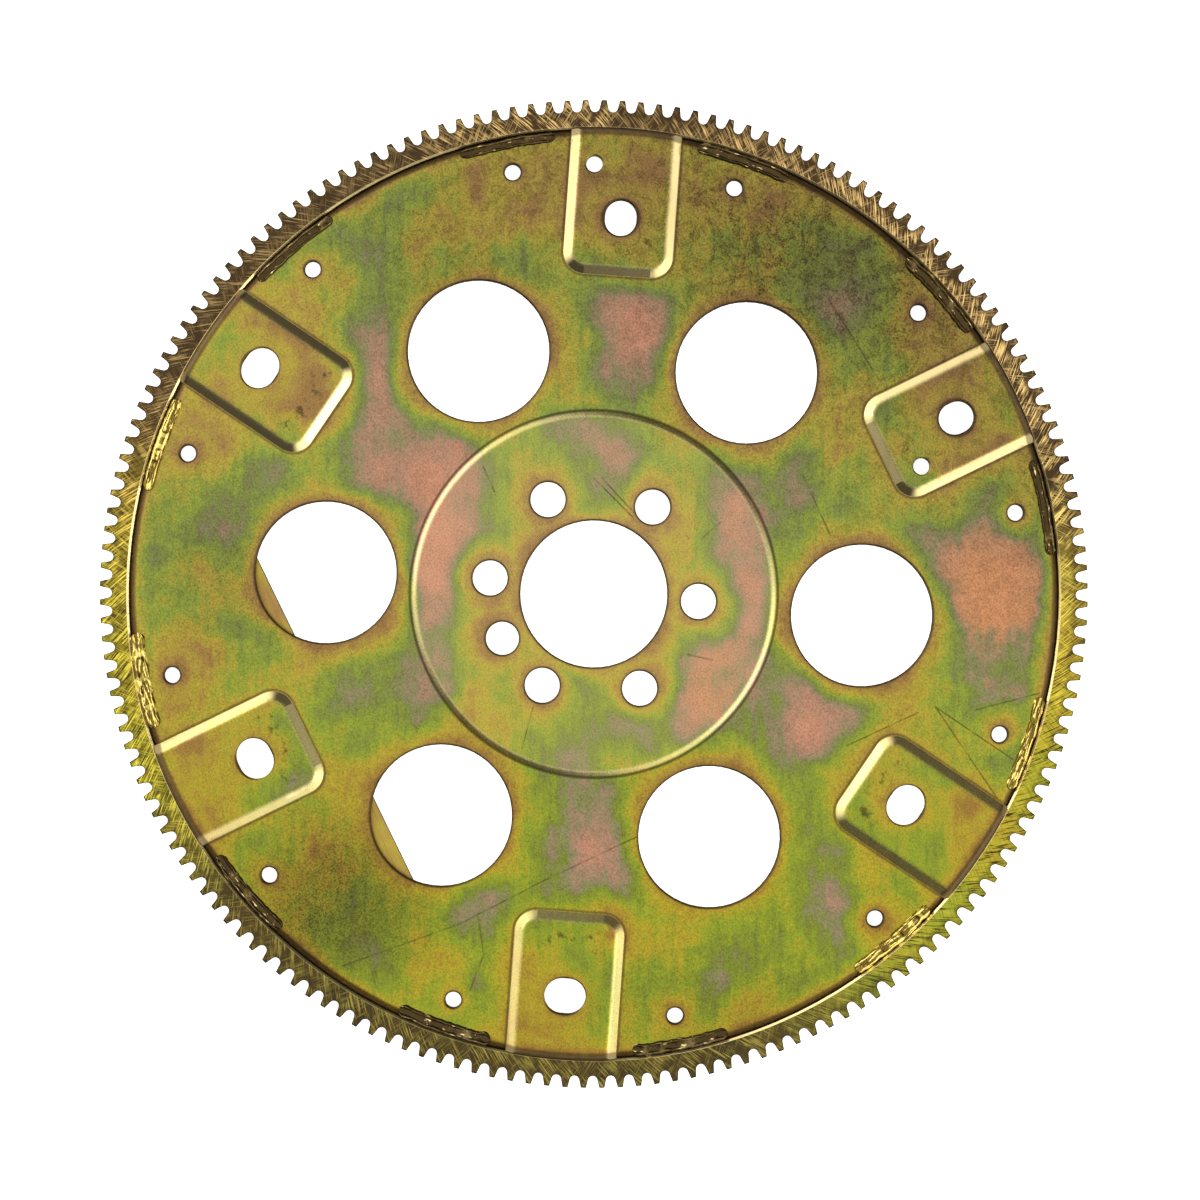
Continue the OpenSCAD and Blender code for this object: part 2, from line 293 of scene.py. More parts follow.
# Scratches, as their two ends right of and above the crank axis in the view
SCRATCHES = (
    ((-91, -135), (-49, -120)),
    ((-49, -120), (-18, -104)),
    ((-18, -104), (16, -88)),
    ((-42, -117), (-40, -131)),
    ((-40, -131), (-45, -144)),
    ((-22, -41), (-26, -56)),
    ((-40, 46), (-36, 37)),
    ((0, 42), (14, 28)),
    ((3, 42), (15, 29)),
    ((39, 20), (46, 26)),
    ((34, -22), (43, -24)),
    ((124, -41), (147, -75)),
    ((124, -41), (152, -60)),
    ((92, -55), (118, -43)),
    ((139, -42), (162, -36)),
    ((76, 43), (86, 21)),
    ((86, 106), (104, 77)),
)


def seen(red, green, blue):
    """A colour as it is read off a screen, in the linear values that a shader takes."""
    levels = (red / 255, green / 255, blue / 255)
    return tuple(v / 12.92 if v <= 0.04045 else ((v + 0.055) / 1.055) ** 2.4 for v in levels)


def colour_property(name, description, colour):
    """A colour that a user may change."""
    return FloatVectorProperty(
        name=name, description=description, default=colour, size=3, min=0, max=1, subtype="COLOR"
    )


def length_property(name, description, millimetres):
    """A length that a user may change."""
    return FloatProperty(
        name=name,
        description=description,
        default=millimetres * MM,
        min=0,
        precision=5,
        unit="LENGTH",
    )


class FlexplatePlating(bpy.types.PropertyGroup):
    """Colours of the chromate film, from thin to thick, and the grain of the plating."""

    film_brown: colour_property("Brown", "Thinnest film, at cut edges", seen(84, 62, 36))
    film_gold: colour_property("Gold", "Thin film, near edges", seen(148, 114, 64))
    film_yellow: colour_property("Yellow", "Film between gold and green", seen(166, 148, 56))
    film_green: colour_property("Green", "Film over most of the disc", seen(133, 147, 55))
    film_olive: colour_property("Olive", "Film past green", seen(116, 127, 64))
    film_grey: colour_property("Grey", "Film between olive and rose", seen(130, 124, 86))
    film_rose: colour_property("Rose", "Thick film", seen(158, 124, 98))
    film_pink: colour_property("Pink", "Thickest film", seen(184, 130, 102))
    film_salmon: colour_property("Salmon", "Warm film on one side of the disc", seen(196, 134, 80))
    # Flash is film thinned over the bends, and also a painted highlight on them, on the ring's bore
    # line and on the beads' crests and specks
    flash_and_highlight: colour_property("Flash", "Film stretched thin over the bends", seen(250, 226, 160))
    # Gleam and glint colour the bared metal of the grinding strokes, drawn brightest where a
    # painted glint is laid on them
    gleam: colour_property("Gleam", "Metal bared by grinding strokes", seen(226, 188, 118))
    glint: colour_property("Glint", "Bared metal under the yellowest film", seen(214, 198, 88))
    # Stain tints the yellowest film, and also tints the ring and the beads in their lit places as
    # painted light
    stain_and_lit_tint: colour_property("Stain", "Tint of the yellowest film", (1, 1, 0.3))
    # Soot is grime in scratches, smudges and streaks, and also painted shade in creases, at cut
    # edges, in the rim band, on the ring outside its lit places and in the beads' hollows
    soot_and_shade: colour_property("Soot", "Grime in creases and scratches", seen(50, 36, 18))
    view_turn: FloatProperty(
        name="View turn",
        description="Turn of the part in the view",
        default=math.radians(64.1),
        subtype="ANGLE",
    )
    grain: length_property("Grain", "Size of the plating's grain", 0.7)


class FlexplateBeads(bpy.types.PropertyGroup):
    """Sizes of the weld beads."""

    half_width: length_property("Half width", "Half the width of the widest ring bead", 2.6)
    rise: length_property("Rise", "Height of a ring bead over the disc", 1.25)
    straight: length_property("Straight", "Half the length of a ring bead without its ends", 15.1)
    end: length_property("End", "Length of a ring bead's rounded end", 2.5)
    ripple: length_property("Ripple", "Pitch of the ripples", 1.5)
    leg: length_property("Leg", "Leg of a fillet on the balance weight", 3.4)
    seed: IntProperty(name="Seed", description="Seed of the beads' unevenness", default=7, min=0)


class FlexplateStage(bpy.types.PropertyGroup):
    """The camera, the floor and the lights."""

    camera_height: length_property("Camera height", "Height of the camera over the disc", 1080)
    view_width: length_property("View width", "Width of the view at the disc", 436.2)
    offset_right: length_property("Offset right", "Middle of the view right of the axis", 2.25)
    offset_down: length_property("Offset down", "Middle of the view below the axis", 2.2)
    floor_size: length_property("Floor size", "Half the side of the floor", 6000)
    floor_colour: colour_property("Floor", "Colour of the floor", (0.93, 0.93, 0.93))
    bounce_colour: colour_property(
        "Bounce", "Colour of the floor as the part reflects it", (0.12, 0.12, 0.12)
    )
    box_power: FloatProperty(
        name="Box power", description="Power of each soft box", default=3, min=0, unit="POWER"
    )


class Channel:
    """An output socket of a node tree, so that sums on it read as Python."""

    def __init__(self, finish, socket):
        self.finish = finish
        self.socket = socket

    def math(self, operation, *others, clamp=False):
        """A Math node on this value and the others."""
        return self.finish.math(operation, self, *others, clamp=clamp)

    def output(self, name):
        """Another output of the same node."""
        return Channel(self.finish, self.socket.node.outputs[name])

    def __add__(self, other):
        return self.math("ADD", other)

    def __radd__(self, other):
        return self.math("ADD", other)

    def __sub__(self, other):
        return self.math("SUBTRACT", other)

    def __rsub__(self, other):
        return self.finish.math("SUBTRACT", other, self)

    def __mul__(self, other):
        return self.math("MULTIPLY", other)

    def __rmul__(self, other):
        return self.math("MULTIPLY", other)

    def __truediv__(self, other):
        return self.math("DIVIDE", other)

    def __rtruediv__(self, other):
        return self.finish.math("DIVIDE", other, self)


class Finish:
    """The nodes of a material or of the world."""

    def __init__(self, owner):
        owner.use_nodes = True
        self.owner = owner
        self.tree = owner.node_tree
        self.tree.nodes.clear()

    def node(self, kind, settings=None, sockets=None, out=0):
        """A node with its settings, then the values or links of its sockets."""
        made = self.tree.nodes.new(kind)
        for name, value in (settings or {}).items():
            if name == "stops":
                self.set_stops(made.color_ramp, value)
            else:
                setattr(made, name, value)
        for name, value in (sockets or {}).items():
            if isinstance(value, Channel):
                self.tree.links.new(value.socket, made.inputs[name])
            else:
                made.inputs[name].default_value = value
        return Channel(self, made.outputs[out])

    def set_stops(self, ramp, stops):
        """Gives a ramp its stops, as places and colours."""
        while len(ramp.elements) < len(stops):
            ramp.elements.new(1)
        for element, (place, colour) in zip(ramp.elements, stops):
            element.position = place
            element.color = (*colour, 1)

    def math(self, operation, *values, clamp=False):
        """A Math node."""
        settings = {"operation": operation, "use_clamp": clamp}
        return self.node("ShaderNodeMath", settings, dict(enumerate(values)))

    def vector(self, operation, *values, out=0):
        """A Vector Math node."""
        settings = {"operation": operation}
        return self.node("ShaderNodeVectorMath", settings, dict(enumerate(values)), out)

    def flat(self, x, y):
        """A point in the disc's plane."""
        return self.node("ShaderNodeCombineXYZ", None, {"X": x, "Y": y})

    def distance(self, point, place):
        """Distance from a point to a fixed place in the disc's plane."""
        return self.vector("DISTANCE", point, (*place, 0), out="Value")

    def noise(self, point, size, detail=3, roughness=0.5, distortion=0):
        """Noise from 0 to 1 whose lumps are about size across."""
        sockets = {
            "Vector": point,
            "Scale": 1 / size,
            "Detail": detail,
            "Roughness": roughness,
            "Distortion": distortion,
        }
        return self.node("ShaderNodeTexNoise", None, sockets)

    def step(self, value, low, high, start=0, end=1):
        """A smooth change from start to end as a value goes from low to high."""
        sockets = {
            "Value": value, "From Min": low, "From Max": high, "To Min": start, "To Max": end
        }
        return self.node("ShaderNodeMapRange", {"interpolation_type": "SMOOTHSTEP"}, sockets)

    def mix(self, mask, under, over, blend="MIX"):
        """One colour over another."""
        settings = {"data_type": "RGBA", "blend_type": blend}
        pair = [c if isinstance(c, Channel) else (*c, 1) for c in (under, over)]
        return self.node("ShaderNodeMix", settings, {0: mask, 6: pair[0], 7: pair[1]}, 2)

    def film_colour(self, film, plating):
        """The film's colour, from thin to thick."""
        stops = (
            (0.00, plating.film_brown),
            (0.14, plating.film_gold),
            (0.27, plating.film_yellow),
            (0.40, plating.film_green),
            (0.53, plating.film_olive),
            (0.63, plating.film_grey),
            (0.75, plating.film_rose),
            (0.95, plating.film_pink),
        )
        return self.node("ShaderNodeValToRGB", {"stops": stops}, {"Fac": film})

    def surface(self, colour, roughness, metallic, bumps=(), **constants):
        """The shader, with bumps as heights, strengths and depths in metres."""
        sockets = {"Base Color": colour, "Roughness": roughness, "Metallic": metallic}
        normal = None
        for height, strength, depth in bumps:
            bump = {"Height": height, "Strength": strength, "Distance": depth}
            if normal:
                bump["Normal"] = normal
            normal = self.node("ShaderNodeBump", None, bump)
        if normal:
            sockets["Normal"] = normal
        for name, value in constants.items():
            sockets[name.replace("_", " ").title()] = value
        shader = self.node("ShaderNodeBsdfPrincipled", None, sockets)
        self.node_output("ShaderNodeOutputMaterial", shader)
        return self.owner

    def node_output(self, kind, shader):
        """The output node of a material or of the world."""
        output = self.tree.nodes.new(kind)
        self.tree.links.new(shader.socket, output.inputs["Surface"])


class Drawing:
    """Coordinates in millimetres: the flexplate's own axes, polar ones and those of the view."""

    def __init__(self, finish, turn):
        self.finish = finish
        self.turn = turn
        coords = finish.node("ShaderNodeTexCoord", None, None, "Object")
        sockets = {"Vector": coords, "Scale": (1 / MM,) * 3}
        self.point = finish.node("ShaderNodeMapping", None, sockets)
        self.view = finish.node("ShaderNodeMapping", None, {**sockets, "Rotation": (0, 0, -turn)})
        split = finish.node("ShaderNodeSeparateXYZ", None, {"Vector": self.point})
        self.x = split
        self.y = split.output("Y")
        self.z = split.output("Z")
        self.plane = finish.flat(self.x, self.y)
        self.radius = finish.vector("LENGTH", self.plane, out="Value")
        self.angle = self.y.math("ARCTAN2", self.x)
        self.right = finish.node("ShaderNodeSeparateXYZ", None, {"Vector": self.view})
        self.up = self.right.output("Y")
        self.seen_plane = finish.flat(self.right, self.up)
        sockets = {"Vector": self.seen_plane, "Scale": 1 / SWIRL, "Detail": 2}
        swirl = finish.node("ShaderNodeTexNoise", None, sockets, "Color")
        shift = finish.vector("SUBTRACT", swirl, (0.5, 0.5, 0.5))
        self.wavy_plane = finish.vector("MULTIPLY_ADD", shift, (WAVER, WAVER, 0), self.seen_plane)

    def folded(self, first, step):
        """The point turned into the first of the places that repeat round the axis."""
        start = math.radians(first - step / 2)
        turn = math.radians(step)
        local = (self.angle - start).math("FLOORED_MODULO", turn) - turn / 2
        return self.radius * local.math("COSINE"), self.radius * local.math("SINE")

    def hole_gap(self):
        """Distance from the nearest hole's edge, and the same with each hole's lag on the film."""
        finish = self.finish
        mirrored = finish.flat(self.x.math("ABSOLUTE"), self.y)
        gaps = [(self.radius - PILOT_R, HUB_LAG)]
        for turn in CRANK_TURNS:
            a = math.radians(WEIGHT_SIDE + turn)
            place = (CRANK_R * math.cos(a), CRANK_R * math.sin(a))
            gaps.append((finish.distance(mirrored, place) - CRANK_HOLE_R, HUB_LAG))
        gaps.append((finish.distance(self.plane, (0, -DOWEL_AT)) - DOWEL_R, HUB_LAG))
        repeats = (
            (LIGHT_TURN, PAD_STEP, LIGHT_AT, LIGHT_R, LIGHT_LAG),
            (WELD_FIRST, WELD_STEP, RIM_HOLE_AT, RIM_HOLE_R, RIM_HOLE_LAG),
            (PAD_FIRST, 2 * PAD_STEP, SMALL_SLOT_AT, SLOT_R, SLOT_LAG),
            (PAD_FIRST + PAD_STEP, 2 * PAD_STEP, LARGE_SLOT_AT, SLOT_R, SLOT_LAG),
        )
        for first, step, at, hole_r, lag in repeats:
            local = finish.flat(*self.folded(first, step))
            gaps.append((finish.distance(local, (at, 0)) - hole_r, lag))
        nearest, reach = gaps[0][0], gaps[0][0] + gaps[0][1]
        for gap, lag in gaps[1:]:
            nearest = nearest.math("MINIMUM", gap)
            reach = reach.math("MINIMUM", gap + lag)
        return nearest, reach

    def lobe(self, middle, reach, full):
        """A share that fades from full to none at degrees away from an angle in the view."""
        away = (self.angle - (self.turn + math.radians(middle))).math("COSINE")
        return self.finish.step(away, math.cos(math.radians(reach)), math.cos(math.radians(full)))

    def pad_depth(self):
        """Distance inside a pad's foot line, negative outside it."""
        finish = self.finish
        along, across = self.folded(PAD_FIRST, PAD_STEP)
        inner = (PAD_INNER + PAD_CORNER_R) - along
        side = across.math("ABSOLUTE") - (PAD_HALF - PAD_CORNER_R)
        past = finish.flat(inner.math("MAXIMUM", 0), side.math("MAXIMUM", 0))
        corner = finish.vector("LENGTH", past, out="Value")
        flat = inner.math("MAXIMUM", side).math("MINIMUM", 0)
        return PAD_CORNER_R - corner - flat

    def patches(self, places):
        """The sum of soft patches."""
        finish = self.finish
        total = None
        for right, up, half_right, half_up, strength in places:
            scale = (1 / half_right, 1 / half_up, 0)
            shift = (-right / half_right, -up / half_up, 0)
            local = finish.vector("MULTIPLY_ADD", self.wavy_plane, scale, shift)
            reach = finish.vector("LENGTH", local, out="Value")
            patch = finish.step(reach, *PATCH_FADE, 0, strength)
            total = patch if total is None else total + patch
        return total

    def scratches(self, lines, width):
        """Thin lines between pairs of places in the view."""
        finish = self.finish
        nearest = None
        for start, end in lines:
            run = (end[0] - start[0], end[1] - start[1], 0)
            square = run[0] ** 2 + run[1] ** 2
            rest = finish.vector("SUBTRACT", self.seen_plane, (*start, 0))
            share = finish.vector("DOT_PRODUCT", rest, run, out="Value")
            share = share.math("DIVIDE", square, clamp=True)
            sockets = {0: run, "Scale": share}
            foot = finish.node("ShaderNodeVectorMath", {"operation": "SCALE"}, sockets)
            gap = finish.vector("DISTANCE", rest, foot, out="Value")
            nearest = gap if nearest is None else nearest.math("MINIMUM", gap)
        return finish.step(nearest, width, width * SCRATCH_FULL)


def disc_plating(plating):
    """Yellow chromate on the pressed sheet, with halos at its edges, grime and scratches, a pale
    flash on its bends that is partly a painted highlight, and painted shade in its creases, at its
    cut edges and in its rim band.
    """
    finish = Finish(bpy.data.materials.new("disc_plating"))
    drawing = Drawing(finish, plating.view_turn)
    point = drawing.point
    fine = finish.noise(point, plating.grain / MM, 3, 0.65)
    dust = finish.noise(point, plating.grain / MM / DUST_FINER, 2, 0.6)
    lumps = finish.noise(point, LUMP, 3, 0.58)
    mottle = finish.noise(point, MOTTLE, 4, 0.72)
    clouds = finish.noise(point, CLOUD, 2, 0.5)
    along = finish.vector("MULTIPLY", drawing.view, (1 / STREAK[0], 1 / STREAK[1], 0))
    streaks = finish.noise(along, 1, 3, 0.66)
    gap, near = drawing.hole_gap()
    pad = drawing.pad_depth()
    rim_gap = RIM_R - drawing.radius

    film = FILM_USUAL + (clouds - 0.5) * 1.2 + (lumps - 0.5) * 0.34
    film = film + (mottle - 0.5) * 0.22 + (streaks - 0.5) * 0.32
    film = film + drawing.patches(FILM_PATCHES) * 1.1 - drawing.patches(THIN_PATCHES)
    film = film.math("MAXIMUM", FILM_LEAST)
    pad_gap = (pad * PAD_HALO_IN).math("MAXIMUM", pad * PAD_HALO_OUT) + PAD_LAG
    near = near.math("MINIMUM", rim_gap * RIM_HALO).math("MINIMUM", pad_gap)
    near = near + (clouds - 0.5) * 14 + (mottle - 0.5) * 2
    edge_film = finish.step(near, *HALO, *FILM_AT_EDGE) + (mottle - 0.5) * 0.2
    film = film + (edge_film - film) * finish.step(near, *HALO_FADE, 0, 0.9)
    colour = finish.film_colour(film, plating)

    warm = drawing.patches(WARM_PATCHES) * finish.step(film, 0.6, 0.8)
    colour = finish.mix(warm, colour, plating.film_salmon)
    yellow = finish.step(drawing.up, *YELLOW_FADE, 0, 0.8) * finish.step(film, 0.64, 0.5)
    colour = finish.mix(yellow, colour, plating.stain_and_lit_tint, "MULTIPLY")
    # Pale flash colour on the pad and hub bends: film thinned there, and a painted highlight that
    # makes their reflections cream
    pad_wall = finish.step(pad, *PAD_FOOT) * finish.step(pad, *PAD_CREST, 0, 0.9)
    pad_bend_highlight = pad_wall * (1 - yellow * 0.55)
    hub_gap = HUB_R - drawing.radius
    hub_bend_highlight = finish.step((hub_gap - HUB_WALL / 2).math("ABSOLUTE"), *HUB_CREST, 0, 0.4)
    bend_highlight = pad_bend_highlight.math("MAXIMUM", hub_bend_highlight)
    colour = finish.mix(bend_highlight, colour, plating.flash_and_highlight)

    shade = drawing.patches(SHADE_PATCHES)
    speckle = finish.step(fine * 0.6 + dust * 0.4, 0.34, 0.62, 0.5, 0) * (1 - bend_highlight)
    # Darkened towards the upper right of the view
    upper_right_dark = finish.step(drawing.up * 0.8 + drawing.right * 0.45, *UPPER_RIGHT_DARK_FADE, 0, 0.28)
    hub = finish.step(drawing.radius, HUB_R, HUB_R - HUB_EDGE)
    streak = finish.step(streaks, 0.5, 0.72, 0, 0.09)
    colour = finish.mix(hub * 0.05, colour, plating.flash_and_highlight)
    spangle = finish.step(finish.noise(point, SPANGLE, 4, 0.7, 1.2), 0.44, 0.6, 0, 0.08)
    spangle = spangle * (1 + upper_right_dark * 6) * (1 - bend_highlight)
    tone = shade + spangle - 0.05 + speckle + (upper_right_dark - hub * 0.06)
    colour = finish.mix(tone.math("ADD", streak, clamp=True), colour, plating.soot_and_shade)

    # Painted shade in the creases at the pads' and the hub's feet, at the cut edges and in the rim
    # band; the smudges, scratches and spots are real grime
    crease_shade = finish.step((pad + 0.1).math("ABSOLUTE"), *PAD_CREASE, 0, 0.55)
    hub_crease_shade = finish.step((drawing.radius - (HUB_R - 0.2)).math("ABSOLUTE"), *HUB_CREASE, 0, 0.7)
    edge = finish.step(gap, *CUT_EDGE, 0, 0.75)
    rim_band_shade = finish.step(rim_gap, *RIM_BAND, 0, 0.6)
    smudge_place = finish.step((pad - SMUDGE_DEPTH).math("ABSOLUTE"), SMUDGE_HALF, 0)
    inner_end = finish.step(drawing.radius, *(PAD_INNER + reach for reach in SMUDGE_REACH))
    smudge = finish.step(finish.noise(point, SMUDGE, 3, 0.7), 0.5, 0.68, 0, 0.75)
    smudge = smudge * smudge_place * inner_end
    lines = drawing.scratches(SCRATCHES, SCRATCH_HALF)
    lines = lines * finish.step(finish.noise(point, SCRATCH_BREAK), 0.3, 0.6, 0.15, 0.6)
    grime_and_shade = crease_shade.math("MAXIMUM", hub_crease_shade).math("MAXIMUM", edge).math("MAXIMUM", rim_band_shade)
    grime_and_shade = grime_and_shade.math("MAXIMUM", smudge).math("MAXIMUM", lines)
    spots = finish.step(finish.noise(point, SPOT, 2, 0.5), 0.74, 0.8, 0, 0.5)
    colour = finish.mix(grime_and_shade.math("MAXIMUM", spots), colour, plating.soot_and_shade)

    roughness = 0.36 + (lumps - 0.5) * 0.16 + (fine - 0.5) * 0.2 + grime_and_shade * 0.25 - bend_highlight * 0.3
    metallic = DISC_METAL + bend_highlight * 0.2 - finish.step(rim_gap, *RIM_DULL, 0, 0.5)
    bumps = ((fine * (1 - pad_wall * 0.8), 0.4, GRAIN_DEPTH * MM),)
    return finish.surface(colour, roughness, metallic, bumps)


def ring_plating(plating):
    """The same film on the ring gear, over a face that was ground with crossing strokes, with
    painted light by place round the rim: painted shade outside the lit places, a painted glint on
    the strokes and a painted highlight on the bore line.
    """
    finish = Finish(bpy.data.materials.new("ring_plating"))
    drawing = Drawing(finish, plating.view_turn)
    point = drawing.point
    fine = finish.noise(point, plating.grain / MM, 3, 0.65)
    clouds = finish.noise(point, RING_CLOUD, 3, 0.55)
    arc = drawing.angle * TIP_R
    # Places round the rim where light and shade are painted into the colour
    lit_right = drawing.lobe(*RING_LIT_RIGHT)
    lit_left = drawing.lobe(*RING_LIT_LEFT)
    gold_top = drawing.lobe(*RING_GOLD)
    teeth = finish.step(drawing.radius, *TOOTH_FOOT)
    bright = dark = None
    for lean, share in STROKES:
        lean = math.radians(lean)
        across = arc * math.sin(lean) - drawing.radius * math.cos(lean)
        along = arc * math.cos(lean) + drawing.radius * math.sin(lean)
        coarse, hair, gate = (
            finish.noise(finish.flat(across / width, along / length), 1, detail, roughness)
            for (width, length), detail, roughness in (
                (STROKE, 2, 0.6), (HAIR, 1, 0.5), (STROKE_PLACE, 2, 0.5)
            )
        )
        stroke = finish.step(coarse, 0.53, 0.6) * 0.9 + finish.step(hair, 0.56, 0.63) * 0.75
        stroke = stroke * finish.step(gate, 0.38, 0.54) * share
        groove = finish.step(coarse * 0.5 + hair * 0.5, 0.49, 0.42)
        groove = groove * finish.step(gate, 0.7, 0.48) * share
        bright = stroke if bright is None else bright.math("MAXIMUM", stroke)
        dark = groove if dark is None else dark.math("MAXIMUM", groove)
    front = finish.step(drawing.z, *RING_FACE)
    # The strokes are real grinding marks; their brightness is a painted glint, strongest in the lit
    # places, and the dark grooves are drawn stronger there
    glint = lit_left.math("MAXIMUM", gold_top * (1 - teeth * 0.6))
    glint = glint.math("MAXIMUM", drawing.lobe(*RING_GLINT))
    bright = bright * front * (0.3 + glint * 0.7 - lit_right * 0.1)
    dark = dark * front * (0.5 + lit_right.math("MAXIMUM", lit_left) * 0.5)

    # The film is shifted in the lit places and down the view; the shift in the lit places is part
    # of the painted light
    film = 0.14 + lit_right * 0.08 + lit_left * 0.1 + (clouds - 0.5) * 0.35 + (fine - 0.5) * 0.3
    film = film + finish.step(drawing.up, *RING_FADE, 0, 0.12)
    film = film + drawing.lobe(*RING_YELLOW) * 0.06
    colour = finish.film_colour(film, plating)
    # Painted shade: the ring is darkened towards soot outside its lit places
    shade = 0.93 - lit_right * 0.92 - lit_left * 0.42
    shade = shade + (clouds - 0.5) * 0.3 + teeth * lit_right * 0.25
    colour = finish.mix(shade, colour, plating.soot_and_shade)
    colour = finish.mix(dark, colour, plating.soot_and_shade)
    gleam = finish.mix(finish.step(drawing.up, *GLINT_FADE), plating.gleam, plating.glint)
    colour = finish.mix(bright.math("MULTIPLY", 0.95, clamp=True), colour, gleam)
    # Painted shade along the edges of the teeth
    along, across = drawing.folded(FIRST_SPACE, TOOTH_STEP)
    flank = across.math("ABSOLUTE") - SPACE_HALF - (along - SPACE_MID_R) * math.tan(FLANK_SLOPE)
    tip = TIP_R - drawing.radius
    edge = finish.step(flank.math("MINIMUM", tip), *TOOTH_EDGE, 0, 0.6) * teeth
    colour = finish.mix(edge, colour, plating.soot_and_shade)
    # Painted light: a yellow tint in the lit places
    lit = lit_left.math("MAXIMUM", lit_right)
    colour = finish.mix(lit * 0.7, colour, plating.stain_and_lit_tint, "MULTIPLY")
    # Painted highlight on the bore line, strongest in its lit places
    bore_highlight = finish.step(drawing.radius - RING_BORE_R, *BORE_LINE, 0, 0.95)
    bore_lit = drawing.lobe(*BORE_LIT_LEFT).math("MAXIMUM", drawing.lobe(*BORE_LIT_RIGHT))
    bore_highlight = bore_highlight * (0.3 + bore_lit * 0.7)
    colour = finish.mix(bore_highlight, colour, plating.flash_and_highlight)
    roughness = 0.4 + (fine - 0.5) * 0.2 - bright * 0.12 - bore_highlight * 0.2
    bumps = ((bright - dark, 0.4, GRAIN_DEPTH * MM),)
    return finish.surface(colour, roughness, METAL, bumps)


def weld_plating(plating):
    """The film on an uneven bead, with painted highlights on its crests and in specks, soot and
    painted shade in its hollows, and a yellow tint in its lit places.
    """
    finish = Finish(bpy.data.materials.new("weld_plating"))
    drawing = Drawing(finish, plating.view_turn)
    point = drawing.point
    fine = finish.noise(point, BEAD_GRAIN, 4, 0.65)
    lumps = finish.noise(point, BEAD_LUMP, 4, 0.6)
    film = 0.2 + (lumps - 0.5) * 0.5 + (fine - 0.5) * 0.2
    colour = finish.film_colour(film, plating)
    # Places round the rim where light is painted into the beads' colour
    lit = drawing.lobe(*BEAD_LIT_LEFT).math("MAXIMUM", drawing.lobe(*BEAD_LIT_RIGHT))
    front = finish.step(drawing.z, *DISC_FRONT)
    # Soot in the hollows and burnt lumps, with painted shade outside the lit places; painted
    # highlight on the crests, stronger where lit
    hollow_soot_and_shade = finish.step(drawing.z, *BEAD_HOLLOW, 0, 0.93) * (1 - lit * 0.3)
    burnt_and_shade = finish.step(lumps, 0.52, 0.64, 0, 0.8) + 0.75 - lit * 0.85
    crest_highlight = finish.step(drawing.z, *BEAD_CREST, 0, 0.5) * (1 + lit * 0.8)
    colour = finish.mix(crest_highlight, colour, plating.flash_and_highlight)
    sooty_and_shaded = hollow_soot_and_shade.math("MAXIMUM", burnt_and_shade.math("MINIMUM", 0.9)) * (0.4 + front * 0.6)
    colour = finish.mix(sooty_and_shaded, colour, plating.soot_and_shade)
    # Specks of painted glint, more in the lit places
    arc = drawing.angle * WELD_MID_R
    glint_dabs = finish.flat(arc / BEAD_GLINT_DAB[0], drawing.radius / BEAD_GLINT_DAB[1])
    glint_dabs = finish.noise(glint_dabs, 1, 3, 0.6) + lit * 0.09
    glint_specks = finish.step(glint_dabs, 0.61, 0.67, 0, 0.95) * front
    colour = finish.mix(glint_specks, colour, plating.flash_and_highlight)
    # Painted light: a yellow tint in the lit places
    colour = finish.mix(lit * 0.6, colour, plating.stain_and_lit_tint, "MULTIPLY")
    roughness = 0.2 + (fine - 0.5) * 0.3 + burnt_and_shade * 0.2
    bumps = ((lumps, 0.3, LUMP_DEPTH * MM), (fine, 0.25, FINE_DEPTH * MM))
    return finish.surface(colour, roughness, METAL, bumps)


def weight_plating(plating):
    """The film on the sheared bar behind the disc, brown gold with streaks along its length."""
    finish = Finish(bpy.data.materials.new("weight_plating"))
    drawing = Drawing(finish, plating.view_turn)
    point = drawing.point
    fine = finish.noise(point, plating.grain / MM, 3, 0.65)
    length, width = WEIGHT_STREAK
    along = finish.vector("MULTIPLY", point, (1 / length, 1 / width, 1 / width))
    drawn = finish.noise(along, 1, 3, 0.6)
    clouds = finish.noise(point, WEIGHT_CLOUD, 3, 0.55)
    film = 0.2 + (clouds - 0.5) * 0.34 + (drawn - 0.5) * 0.2 + (fine - 0.5) * 0.14
    colour = finish.film_colour(film, plating)
    colour = finish.mix(finish.step(drawn, 0.5, 0.75, 0, 0.4), colour, plating.soot_and_shade)
    roughness = 0.38 + (drawn - 0.5) * 0.3
    bumps = ((drawn, 0.25, STREAK_DEPTH * MM), (fine, 0.25, FINE_DEPTH * MM))
    return finish.surface(colour, roughness, METAL, bumps)


def dress(node, material):
    """Gives a CAD node one material."""
    node.data.materials.clear()
    node.data.materials.append(material)


def bead_piece(name, mesh, material, replaced):
    """A finished bead, riding with the flexplate in place of a CAD node."""
    bmesh.ops.remove_doubles(mesh, verts=mesh.verts, dist=MERGE_REACH * MM)
    bmesh.ops.recalc_face_normals(mesh, faces=mesh.faces)
    data = bpy.data.meshes.new(name)
    mesh.to_mesh(data)
    mesh.free()
    data.shade_smooth()
    data.materials.append(material)
    piece = bpy.data.objects.new(name, data)
    bpy.context.scene.collection.objects.link(piece)
    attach(piece, "root")
    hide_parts(replaced)


def shaped_sheet(along, across, form):
    """A grid whose cells are shaped by a form of its two shares, each from -1 to 1."""
    mesh = bmesh.new()
    bmesh.ops.create_grid(mesh, x_segments=along, y_segments=across, size=1)
    for vert in mesh.verts:
        vert.co = form(vert.co.x, vert.co.y)
    return mesh


def wall_down(mesh, root):
    """Walls from the sheet's border to its root, which a function of a place gives."""
    border = [edge for edge in mesh.edges if edge.is_boundary]
    made = bmesh.ops.extrude_edge_only(mesh, edges=border)["geom"]
    for vert in made:
        if isinstance(vert, bmesh.types.BMVert):
            vert.co = root(vert.co)


